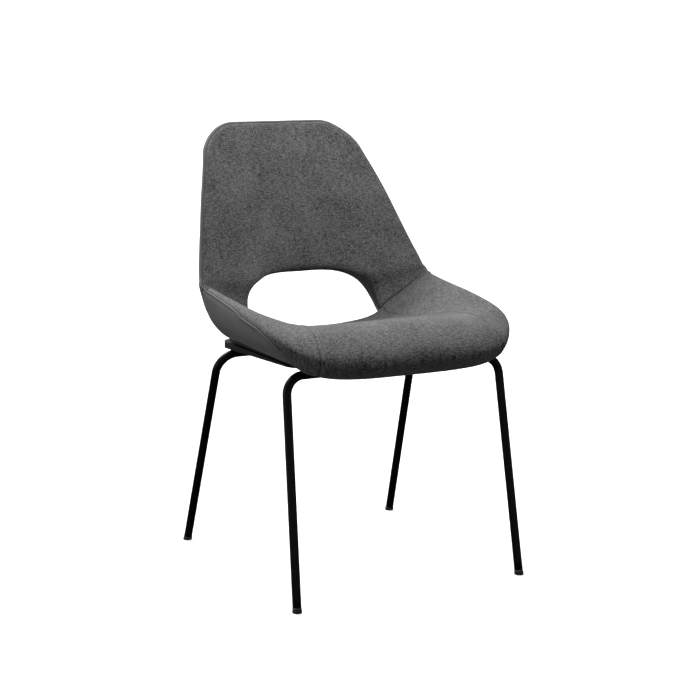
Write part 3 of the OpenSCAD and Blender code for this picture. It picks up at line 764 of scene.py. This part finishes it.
def hoop_path(hoop):
    """The tube's middle line from foot to foot."""
    origin, up, height = hoop_frame(hoop)
    top_half, bend = hoop[4:]
    lean = math.atan2(FOOT_HALF - top_half, height)
    tangent = bend * math.tan((math.pi / 2 - lean) / 2)
    cx, cz = top_half - tangent, height - bend
    leg_top = (cx + bend * math.cos(lean), cz + bend * math.sin(lean))
    foot = (FOOT_HALF - FOOT_CUT * math.sin(lean), FOOT_CUT * math.cos(lean))
    half = [mix(np.array(foot), np.array(leg_top), k / LEG_STEPS) for k in range(LEG_STEPS)]
    half += [
        np.array((cx + bend * math.cos(a), cz + bend * math.sin(a)))
        for a in np.linspace(lean, math.pi / 2, BEND_STEPS + 1)
    ]
    half += [np.array((x, height)) for x in np.linspace(cx, 0, BAR_STEPS + 1)[1:]]
    both = half + [np.array((-p[0], p[1])) for p in half[-2::-1]]
    return [origin + up * float(p[1]) + Vector((float(p[0]), 0, 0)) for p in both]


def hoop_tube(which):
    return sweep(f"{which}_hoop_tube", hoop_path(HOOPS[which]), TUBE, sides=48)


BEAD = 0.0022  # radius
BEAD_ASIDE = 0.0062  # place of a bead, from the middle of the crossbar
BEAD_UP = 0.0061
BEAD_PITCH = 0.0024
BEAD_RIPPLE = 0.13


def weld_beads():
    """Bumpy fillets where the rails lie on the crossbars."""
    paths = []
    for end, _, bar, z, _, _ in HOOPS.values():
        for rail in ("rail_left", "rail_right"):
            low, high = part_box(rail)
            for side in (-1, 1):
                y = end * bar + side * BEAD_ASIDE
                paths.append([
                    (x, y, z + BEAD_UP)
                    for x in np.linspace(low[0] + 0.001, high[0] - 0.001, 60)
                ])
    beads = []
    for path in paths:
        bead = sweep("bead", path, BEAD, sides=12, ends=0.3)
        pts = coordinates(bead.data)
        centre = pts.copy()
        centre[:, 1:] = path[0][1:]
        ripple = 1 + BEAD_RIPPLE * np.abs(np.sin(pts[:, 0] * math.pi / BEAD_PITCH))
        set_coordinates(bead.data, centre + (pts - centre) * ripple[:, None])
        beads.append(bead)
    return joined("weld_beads", beads)


def joined(name, parts):
    """One piece made of all the parts, which are removed."""
    bm = bmesh.new()
    for p in parts:
        bm.from_mesh(p.data)
    mesh = bpy.data.meshes.new(name)
    bm.to_mesh(mesh)
    bm.free()
    for p in parts:
        data = p.data
        bpy.data.objects.remove(p)
        bpy.data.meshes.remove(data)
    mesh.shade_smooth()
    return added(name, mesh)


# --- Glides ------------------------------------------------------
GLIDE_SIDES = 48
# Height along the leg and radius: a band under the tube, a groove, then the foot
GLIDE_PROFILE = (
    (0.0094, 0.0066), (0.0092, 0.0079), (0.0088, 0.0083), (0.0068, 0.0084), (0.0064, 0.0081),
    (0.0061, 0.0081), (0.0057, 0.0086), (0.0050, 0.0088), (0.0018, 0.0088),
)
GLIDE_SOLE = ((0.0088, 0.0007), (0.0082, 0.0))  # radius and height over the floor
BAND_RINGS = 4


def glide(which, side):
    """A foot's plastic glide and the CAD node that it stands for."""
    origin, up, height = hoop_frame(HOOPS[which])
    leg = up * height + Vector((side * (HOOPS[which][4] - FOOT_HALF), 0, 0))
    leg.normalize()
    across = Vector((1, 0, 0)).cross(leg).normalized()
    other = leg.cross(across)
    base = origin + Vector((side * FOOT_HALF, 0, 0))

    def circle(radius):
        turns = [2 * math.pi * k / GLIDE_SIDES for k in range(GLIDE_SIDES)]
        return [(across * math.cos(a) + other * math.sin(a)) * radius for a in turns]

    rings = [[base + leg * along + p for p in circle(radius)] for along, radius in GLIDE_PROFILE]
    # the sole is level with the floor, with a small chamfer
    for radius, z in GLIDE_SOLE:
        ring = [base + p for p in circle(radius)]
        rings.append([p + leg * ((z - p.z) / leg.z) for p in ring])
    points = [p for ring in rings for p in ring]
    name = f"glide_{which}_{'left' if side < 0 else 'right'}"
    piece = mesh_object(name + "_moulding", points, tube_faces(len(rings), GLIDE_SIDES))
    bm = bmesh.new()
    bm.from_mesh(piece.data)
    bmesh.ops.recalc_face_normals(bm, faces=bm.faces)
    bm.to_mesh(piece.data)
    bm.free()
    piece.data.shade_smooth()
    piece.data.materials.append(glide_foot)
    piece.data.materials.append(glide_band)
    for i, f in enumerate(piece.data.polygons):
        f.material_index = 1 if i < BAND_RINGS * GLIDE_SIDES else 0
    return piece, name


SHARP_ANGLE = 35  # edges sharper than this are rounded off
SHADE_ANGLE = 32
FLAT_ANGLE = 0.5  # faces closer to one plane than this are merged
PAN_EDGE = 0.0012


def softened(node, name, width):
    """A copy of a CAD node with its sharp edges rounded off."""
    piece = mesh_object(name, [], [])
    bm = bmesh.new()
    bm.from_mesh(NODES[node].data)
    bmesh.ops.remove_doubles(bm, verts=bm.verts, dist=1e-6)
    bmesh.ops.dissolve_limit(bm, angle_limit=math.radians(FLAT_ANGLE),
                             verts=bm.verts, edges=bm.edges)
    limit = math.radians(SHARP_ANGLE)
    sharp = [e for e in bm.edges if e.is_manifold and e.calc_face_angle() > limit]
    bmesh.ops.bevel(bm, geom=sharp, offset=width, segments=3, profile=0.6,
                    affect="EDGES", clamp_overlap=True)
    bm.to_mesh(piece.data)
    bm.free()
    piece.data.shade_smooth()
    piece.data.set_sharp_from_angle(angle=math.radians(SHADE_ANGLE))
    return piece


# --- Piping and stitches -----------------------------------------
PIPING = 0.0016  # radius
PIPING_START = 62.0
PIPING_SINK = 0.0002  # how deep its middle lies under the seam
WELT = 0.0018  # radius
WELT_INSET = 1.2
PROBE = 0.4  # step across the seam that gives its outward direction
STITCH = 0.0030
STITCH_GAP = 0.0011
THREAD = 0.00038  # radius
STITCH_KNOTS = (0, 0.12, 0.5, 0.88, 1)  # the first and last are thinner
SEAT_STITCH_DEPTH = 1.9  # in millimetres, as the shell
BACK_STITCH_DEPTH = 1.6
EDGE_STITCH_DEPTH = 1.5


def rim_seam_points(lift):
    """The rim seam of the right wing from behind the front corner to the back, lifted off
    the cover."""
    rows = np.linspace(PIPING_START, SEAT_REAR - 1.5, PIPING_STEPS + 1)
    ends = row_end(rows)
    s = row_station(rows, ends)
    t = curve(s, SEAM_REACH)
    x = ends - np.abs(t)
    st = row_station(rows, x)
    here = shell_point(st, x, t)
    further = shell_point(st, ends - np.abs(t + PROBE), t + PROBE)
    before = shell_point(st, ends - np.abs(t - PROBE), t - PROBE)
    across = before - further
    run = np.gradient(here, axis=0)
    out = np.cross(across, run)
    out /= np.linalg.norm(out, axis=1)[:, None]
    out *= np.sign(out[:, :1] + 1e-9)
    return here + lift * out


def piping():
    return sweep("piping_cord_right", rim_seam_points(-PIPING_SINK), PIPING, sides=14, ends=0.35)


def rear_welt():
    """A thin welt along the seat's rear edge, where its cover meets the lining."""
    x = np.linspace(-OPENING_HALF - 2, OPENING_HALF + 2, WELT_STEPS + 1)
    s = rear_line(x) - WELT_INSET
    return sweep("seat_rear_welt", place(s, x, mid_height(s, x)), WELT, sides=12)


def stitches(name, path, mirror=True):
    """Short thread stitches laid end to end along a seam, on one or both sides."""
    path = np.asarray(path, float)
    along = run_of(path)

    def at(d):
        return np.array([np.interp(d, along, path[:, k]) for k in range(3)])

    parts = []
    d = STITCH_GAP
    while d + STITCH < along[-1]:
        parts.append(sweep("stitch", [at(d + STITCH * f) for f in STITCH_KNOTS],
                           THREAD, sides=6, ends=0.4))
        d += STITCH + STITCH_GAP
    piece = joined(name, parts)
    if mirror:
        return joined(name, [piece, mirrored(piece, name + "_other")])
    return piece


def seat_seam_path():
    """From under the front edge over it and back to the opening."""
    rows = np.concatenate([-nose_rows[-2:0:-1], all_rows[:-1]])
    x = seam_x(np.abs(rows))
    s = row_station(np.abs(rows), x)
    under = bottom_height(s, x) + SEAT_STITCH_DEPTH
    height = np.where(rows < 0, under, top_height(s, x) - SEAT_STITCH_DEPTH)
    return place(s, x, height)


def back_seam_path():
    x = np.linspace(OPENING_HALF + 3, HALF_TOP - 3, 40)
    s = np.full(x.shape, SEAM_STATION)
    return place(s, x, top_height(s, x) - BACK_STITCH_DEPTH)


def back_edge_path():
    u = np.linspace(0.002, 0.998, 400)
    k = 1 - np.abs(2 * u - 1)
    s0, x0 = opening_point(k)
    s1, x1 = outline_point(k)
    v = 1 - curve(s1, SEAM_REACH) / np.hypot(s1 - s0, x1 - x0)
    s, x = mix(s0, s1, v), mix(x0, x1, v)
    side = np.where(u > 0.5, -1.0, 1.0)
    return place(s, side * x, top_height(s, x) - EDGE_STITCH_DEPTH)


# --- Materials ---------------------------------------------------
class Shader:
    """Small helper that adds nodes to a material and links them."""

    def __init__(self, name):
        self.material = bpy.data.materials.new(name)
        self.material.use_nodes = True
        self.tree = self.material.node_tree
        self.surface = self.tree.nodes["Principled BSDF"]

    def node(self, kind, **inputs):
        made = self.tree.nodes.new(kind)
        for key, value in inputs.items():
            self.put(made.inputs[key.replace("_", " ")], value)
        return made

    def put(self, socket, value):
        if isinstance(value, bpy.types.NodeSocket):
            self.tree.links.new(value, socket)
        else:
            socket.default_value = value

    def math(self, operation, a, b=0.0):
        made = self.tree.nodes.new("ShaderNodeMath")
        made.operation = operation
        for socket, value in zip(made.inputs, (a, b)):
            self.put(socket, value)
        return made.outputs[0]

    def weighted(self, a, x, b, y):
        """x parts of a and y parts of b."""
        return self.math("ADD", self.math("MULTIPLY", a, x), self.math("MULTIPLY", b, y))

    def blend(self, factor, a, b):
        made = self.tree.nodes.new("ShaderNodeMix")
        made.data_type = "RGBA"
        self.put(made.inputs["Factor"], factor)
        self.put(made.inputs[6], a)
        self.put(made.inputs[7], b)
        return made.outputs[2]

    def place_of(self):
        return self.tree.nodes.new("ShaderNodeTexCoord").outputs["Object"]

    def noise(self, scale, detail=3.0, rough=0.55, vector=None, stretch=None):
        vector = vector or self.place_of()
        if stretch:
            mapping = self.node("ShaderNodeMapping", Vector=vector, Scale=stretch)
            vector = mapping.outputs[0]
        made = self.node("ShaderNodeTexNoise", Vector=vector, Scale=scale, Detail=detail,
                         Roughness=rough)
        return made.outputs["Fac"]

    def ramp(self, factor, low, high, a, b):
        """Grey or colour from a at low to b at high."""
        made = self.tree.nodes.new("ShaderNodeMapRange")
        made.clamp = True
        for key, value in (("Value", factor), ("From Min", low), ("From Max", high)):
            self.put(made.inputs[key], value)
        return self.blend(made.outputs[0], a, b)

    def bump(self, height, distance):
        made = self.node("ShaderNodeBump", Height=height, Distance=distance, Strength=1.0)
        return made.outputs[0]

    def finish(self, colour, roughness, normal, **constants):
        self.put(self.surface.inputs["Base Color"], colour)
        self.put(self.surface.inputs["Roughness"], roughness)
        self.put(self.surface.inputs["Normal"], normal)
        for key, value in constants.items():
            self.surface.inputs[key.replace("_", " ")].default_value = value
        return self.material


def grey(v, warm=0.0):
    return (v * (1 + warm), v, v * (1 - warm), 1)


def cloth(name, pitch, dark, light, warm, relief, mottle, sheen, spread=0.22):
    """Plain weave of threads a pitch apart, each thread a little different in tone."""
    m = Shader(name)
    weave = m.tree.nodes.new("ShaderNodeUVMap")
    weave.uv_map = "Weave"
    wobble = m.noise(90, 2, vector=weave.outputs[0])
    split = m.node("ShaderNodeSeparateXYZ", Vector=weave.outputs[0])
    u = m.weighted(split.outputs[0], 1 / pitch, wobble, 0.9)
    v = m.weighted(split.outputs[1], 1 / pitch, wobble, 0.7)
    su, sv = (m.math("SINE", m.math("MULTIPLY", c, math.pi)) for c in (u, v))
    over = m.math("MULTIPLY", su, sv)
    warp = m.math("ADD", m.math("ABSOLUTE", su), m.math("MULTIPLY", over, 0.6))
    weft = m.math("SUBTRACT", m.math("ABSOLUTE", sv), m.math("MULTIPLY", over, 0.6))
    height = m.math("MAXIMUM", warp, weft)
    warp_on_top = m.math("GREATER_THAN", warp, weft)
    thread = []
    for coordinate, run in ((u, v), (v, u)):
        cell = m.math("FLOOR", coordinate)
        slub = m.node("ShaderNodeCombineXYZ", X=m.math("MULTIPLY", cell, 7.31),
                      Y=m.math("MULTIPLY", run, 0.13))
        thread.append(m.noise(1.0, 2, vector=slub.outputs[0]))
    tone = m.weighted(warp_on_top, thread[0], m.math("SUBTRACT", 1.0, warp_on_top), thread[1])
    patch = m.noise(430, 3, 0.7)
    slubs = m.noise(1.0, 3, vector=weave.outputs[0], stretch=(110, 700, 1))
    drift = m.noise(14, 2)
    tone = m.weighted(tone, 0.45, patch, mottle)
    tone = m.math("ADD", tone, m.math("MULTIPLY", slubs, 0.6 * mottle))
    tone = m.math("ADD", tone, m.math("MULTIPLY", drift, 0.18))
    middle = 0.5 * (0.45 + 1.6 * mottle + 0.18)
    colour = m.ramp(tone, middle - spread, middle + spread, grey(dark, warm), grey(light, warm))
    # painted shade: the hollows between the threads, where the weave is low, are darkened towards a
    # third of the dark tone
    colour = m.blend(m.math("MULTIPLY", m.math("SUBTRACT", 1.0, height), 0.55), colour,
                     grey(0.3 * dark, warm))
    fuzz = m.noise(1600, 2)
    normal = m.bump(m.math("ADD", height, m.math("MULTIPLY", fuzz, 0.5)), relief)
    rough = m.ramp(patch, 0.3, 0.7, grey(0.86), grey(0.97))
    return m.finish(colour, rough, normal, Sheen_Weight=sheen, Sheen_Roughness=0.45,
                    Specular_IOR_Level=0.25)


def coat(name, tone, rough, speckle, relief, gloss=0.4):
    """Powder coat or moulded plastic: fine grain and slight mottling."""
    m = Shader(name)
    grain = m.noise(speckle, 3, 0.6)
    cloud = m.noise(22, 3)
    colour = m.ramp(cloud, 0.3, 0.7, grey(tone * 0.85), grey(tone * 1.18))
    both = m.weighted(grain, 0.5, cloud, 0.5)
    roughness = m.ramp(both, 0.3, 0.7, grey(rough - 0.06), grey(rough + 0.07))
    return m.finish(colour, roughness, m.bump(grain, relief), Specular_IOR_Level=gloss)


woven = cloth("woven_charcoal", pitch=0.0016, dark=0.014, light=0.215, warm=0.0,
              relief=0.0003, mottle=0.9, sheen=0.18, spread=0.16)
side_cloth = cloth("side_felt", pitch=0.0009, dark=0.092, light=0.142, warm=0.015,
                   relief=0.00008, mottle=0.25, sheen=0.22)
lining_cloth = cloth("lining_black", pitch=0.0007, dark=0.012, light=0.022, warm=0.0,
                     relief=0.00006, mottle=0.3, sheen=0.1)
cord_cloth = cloth("piping_cloth", pitch=0.0009, dark=0.10, light=0.16, warm=0.02,
                   relief=0.00008, mottle=0.3, sheen=0.22)
black_steel = coat("satin_black_steel", tone=0.002, rough=0.36, speckle=900, relief=0.00002,
                   gloss=0.14)
pan_plastic = coat("pan_moulded_plastic", tone=0.011, rough=0.6, speckle=700, relief=0.00005,
                   gloss=0.25)
glide_foot = coat("glide_foot_plastic", tone=0.014, rough=0.5, speckle=700, relief=0.00004)
glide_band = coat("glide_band_plastic", tone=0.085, rough=0.45, speckle=700, relief=0.00004)


def thread_material():
    m = Shader("seam_thread")
    twist = m.node("ShaderNodeTexWave", Vector=m.place_of(), Scale=900.0, Distortion=2.0)
    colour = m.ramp(twist.outputs["Fac"], 0.2, 0.8, grey(0.035), grey(0.06))
    return m.finish(colour, 0.7, m.bump(twist.outputs["Fac"], 0.0001), Sheen_Weight=0.3)


def plywood_material():
    m = Shader("core_plywood")
    rings = m.noise(1.0, 5, 0.6, stretch=(14, 90, 60))
    fibre = m.noise(1.0, 4, 0.7, stretch=(60, 1100, 900))
    colour = m.ramp(m.weighted(rings, 0.6, fibre, 0.4), 0.35, 0.65,
                    (0.11, 0.07, 0.04, 1), (0.22, 0.15, 0.09, 1))
    return m.finish(colour, 0.62, m.bump(fibre, 0.0002))


def zinc_material():
    m = Shader("zinc_steel")
    flakes = m.node("ShaderNodeTexVoronoi", Vector=m.place_of(), Scale=420.0)
    colour = m.ramp(flakes.outputs["Distance"], 0.0, 0.8, grey(0.42), grey(0.62))
    roughness = m.ramp(m.noise(300), 0.3, 0.7, grey(0.28), grey(0.42))
    return m.finish(colour, roughness, m.bump(m.noise(500), 0.00004), Metallic=1.0)


def floor_material():
    m = Shader("pale_floor")
    cloud = m.noise(3, 3)
    colour = m.ramp(cloud, 0.3, 0.7, grey(0.86), grey(0.88))
    return m.finish(colour, 0.9, m.bump(m.noise(400), 0.00002), Specular_IOR_Level=0.1)


def dress(piece, material, *nodes, slot=None, fill=None):
    """The piece's material, body and the CAD nodes it stands for."""
    if material is not None:
        piece.data.materials.clear()
        piece.data.materials.append(material)
    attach(piece, "root")
    if nodes:
        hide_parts(*nodes)
    return piece


def redress(node, material):
    slots = NODES[node].material_slots
    for s in slots:
        s.material = material
    if not slots:
        NODES[node].data.materials.append(material)


# --- The chair ---------------------------------------------------
dress(seat_pad(), woven, "seat_cover", "seat_foam", "front_roll_foam",
      slot="woven_fabric", fill=0.85)
wing = wing_pad()
dress(wing, woven, "wing_cover_right", "wing_foam_right", slot="woven_fabric", fill=0.8)
dress(mirrored(wing, "wing_pad_left"), woven, "wing_cover_left", "wing_foam_left",
      slot="woven_fabric", fill=0.8)
side = side_pad()
dress(side, side_cloth, "side_cover_right", "side_foam_right", slot="side_fabric", fill=0.75)
dress(mirrored(side, "side_pad_left"), side_cloth, "side_cover_left", "side_foam_left",
      slot="side_fabric", fill=0.75)
dress(back_pad("back_pad_front", back_reach, PAD_THICKNESS), woven,
      "back_cover_front", "back_foam", slot="woven_fabric", fill=0.8)
dress(back_pad("back_pad_rear", rear_reach, FELT_THICKNESS), side_cloth,
      "back_cover_rear", "back_foam_rear", slot="side_fabric", fill=0.75)
dress(underside_lining(), lining_cloth, "underside_cover", "underside_wadding",
      slot="lining", fill=0.4)
cord = piping()
dress(cord, cord_cloth, "piping_right", slot="side_fabric")
dress(mirrored(cord, "piping_cord_left"), cord_cloth, "piping_left", slot="side_fabric")
dress(rear_welt(), lining_cloth, slot="lining")

thread = thread_material()
dress(stitches("seat_seam_stitches", seat_seam_path()), thread, slot="woven_fabric")
dress(stitches("back_seam_stitches", back_seam_path()), thread, slot="woven_fabric")
dress(stitches("back_edge_stitches", back_edge_path(), mirror=False), thread, slot="woven_fabric")

for which in HOOPS:
    dress(hoop_tube(which), black_steel, f"{which}_hoop", slot="black_steel")
dress(weld_beads(), black_steel, slot="black_steel")
for which in HOOPS:
    for side_sign in (-1, 1):
        moulding, node = glide(which, side_sign)
        dress(moulding, None, node, slot="glide_plastic")
dress(softened("base_pan", "base_pan_moulding", PAN_EDGE), pan_plastic, "base_pan",
      slot="pan_plastic")

redress("shell_core", plywood_material())
for node in ("rail_left", "rail_right"):
    redress(node, black_steel)
zinc = zinc_material()
for node in ("tee_nuts", "mount_washers", "mount_bolts"):
    redress(node, zinc)

# --- Studio ------------------------------------------------------
VIEW_FROM = Vector((-1.462, -2.790, 0.986))
VIEW_TURN = -27.89  # degrees round z, looking towards +y at 0
VIEW_DOWN = 10.52
LENS = 86.99657  # in mm, on a sensor 36 mm wide
SENSOR = 36.0


def camera():
    data = bpy.data.cameras.new("camera")
    data.sensor_width = SENSOR
    data.lens = LENS
    cam = added("camera", data)
    cam.location = VIEW_FROM
    cam.rotation_euler = (math.radians(90 - VIEW_DOWN), 0, math.radians(VIEW_TURN))
    bpy.context.scene.camera = cam


def lamp(name, place_at, size, power, aim=(0, 0, 0.4)):
    data = bpy.data.lights.new(name, "AREA")
    data.shape = "DISK"
    data.size = size
    data.energy = power
    obj = added(name, data)
    obj.location = place_at
    obj.rotation_euler = (Vector(aim) - Vector(place_at)).to_track_quat("-Z", "Y").to_euler()


FLOOR_REACH = 400  # in metres, so that its edge is at the horizon


def studio_floor():
    """A wide pale floor. It gives the chair no bounced light: the sky's lower half does."""
    reach = np.linspace(-FLOOR_REACH, FLOOR_REACH, 9)
    points = [(x, y, 0.0) for y in reach for x in reach]
    m = len(reach)
    faces = [
        (i * m + j, i * m + j + 1, (i + 1) * m + j + 1, (i + 1) * m + j)
        for i in range(m - 1) for j in range(m - 1)
    ]
    floor = mesh_object("studio_floor", points, faces)
    floor.data.materials.append(floor_material())
    floor.visible_diffuse = False
    floor.visible_glossy = False
    only_floor = bpy.data.collections.new("only_floor")
    only_floor.objects.link(floor)
    return only_floor


# Strength of the sky by height: -1 straight down, 0 the horizon, 1 straight up
SKY = ((-1.0, 0.05), (-0.06, 0.08), (-0.02, 1.05), (0.05, 1.05), (0.10, 0.16), (1.0, 0.24))


def sky():
    """Dim soft light from all round, with a pale band at the horizon behind the floor."""
    world = bpy.data.worlds.new("studio")
    world.use_nodes = True
    tree = world.node_tree
    split = tree.nodes.new("ShaderNodeSeparateXYZ")
    tree.links.new(tree.nodes.new("ShaderNodeTexCoord").outputs["Generated"], split.inputs[0])
    curves = tree.nodes.new("ShaderNodeFloatCurve")
    tree.links.new(split.outputs["Z"], curves.inputs["Value"])
    curves.mapping.clip_min_x, curves.mapping.clip_min_y = -1, 0
    curves.mapping.clip_max_x, curves.mapping.clip_max_y = 1, 2
    line = curves.mapping.curves[0]
    line.points[0].location, line.points[1].location = SKY[0], SKY[-1]
    for knot in SKY[1:-1]:
        line.points.new(*knot)
    for point in line.points:
        point.handle_type = "VECTOR"
    curves.mapping.update()
    tree.links.new(curves.outputs[0], tree.nodes["Background"].inputs["Color"])
    bpy.context.scene.world = world


def sun(name, towards, strength, spread, receivers=None):
    data = bpy.data.lights.new(name, "SUN")
    data.energy = strength
    data.angle = math.radians(spread)
    obj = added(name, data)
    obj.rotation_euler = Vector(towards).to_track_quat("-Z", "Y").to_euler()
    if receivers:
        data.use_shadow = False
        obj.light_linking.receiver_collection = receivers


camera()
sky()
sun("floor_wash", (0, 0, -1.0), strength=2.7, spread=20, receivers=studio_floor())
sun("overhead", (0.24, -0.9, -1.0), strength=4.3, spread=30)
lamp("left", (-2.6, 0.3, 1.0), size=1.2, power=11)
lamp("front_top", (0.15, -0.2, 1.5), size=0.5, power=8.5, aim=(-0.05, 0.3, 0.8))
bpy.context.scene.view_settings.view_transform = "Standard"
